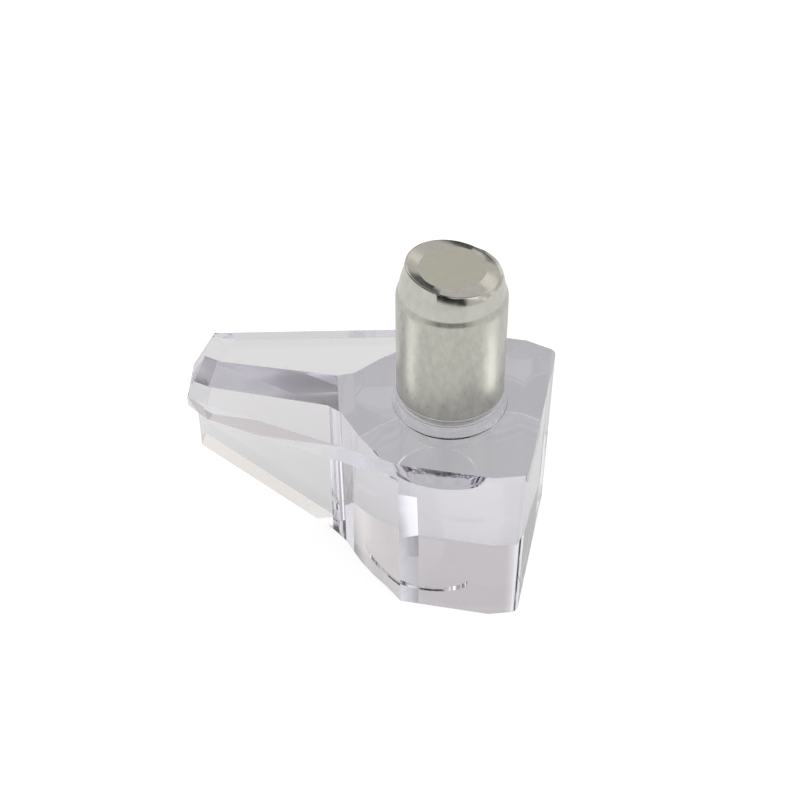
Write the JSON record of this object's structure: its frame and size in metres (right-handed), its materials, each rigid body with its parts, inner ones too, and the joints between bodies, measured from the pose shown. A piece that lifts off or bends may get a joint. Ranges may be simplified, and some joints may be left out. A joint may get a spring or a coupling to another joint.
{
  "type": "shelf support pin",
  "caption": "Shelf support: a clear moulded gusset bracket with a plated steel pin that plugs into a cabinet side.",
  "frame": {"origin": "on the pin's axis, in the back face that meets the cabinet side", "axes": "+Z out along the pin, +X towards the shelf, which is up in use"},
  "size_m": [0.0168, 0.0098, 0.0174],
  "materials": {
    "plated_steel": "tumbled zinc plate",
    "clear_plastic": "polished moulding"
  },
  "bodies": {
    "root": {"steel_pin": "plated_steel", "support_body": "clear_plastic"}
  },
  "joints": []
}
